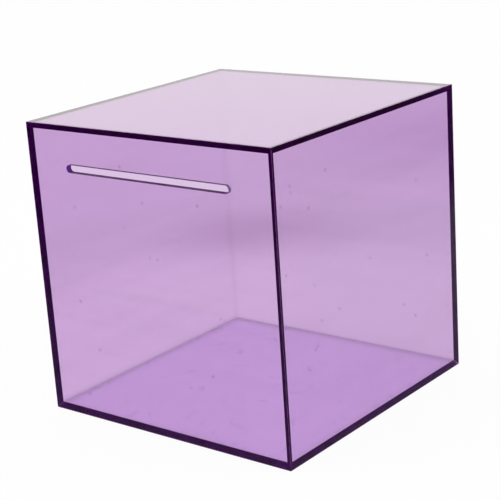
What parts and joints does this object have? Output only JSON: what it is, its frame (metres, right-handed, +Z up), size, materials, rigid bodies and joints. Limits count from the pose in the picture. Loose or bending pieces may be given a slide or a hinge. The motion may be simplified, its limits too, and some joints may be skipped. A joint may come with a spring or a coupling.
{
  "type": "donation box",
  "caption": "Cube donation box of see-through tinted acrylic sheet with mitred edges, a slot high in the front wall and a loose lift-off lid.",
  "frame": {"origin": "middle of the underside, on the surface the box stands on", "axes": "+Z up, -Y out of the slotted front wall, +X to the right as seen from the front"},
  "size_m": [0.3048, 0.3048, 0.3048],
  "materials": {
    "tinted_acrylic": "polished cast acrylic, transparent violet tint"
  },
  "bodies": {
    "box": {"base_panel": "tinted_acrylic", "front_panel": "tinted_acrylic", "back_panel": "tinted_acrylic", "left_panel": "tinted_acrylic", "right_panel": "tinted_acrylic"},
    "lid": {"lid": "tinted_acrylic"}
  },
  "joints": [
    {"name": "lid_lift", "type": "slide", "parent": "box", "child": "lid", "axis": [0, 0, 1], "range_m": [0, 0.15]}
  ]
}
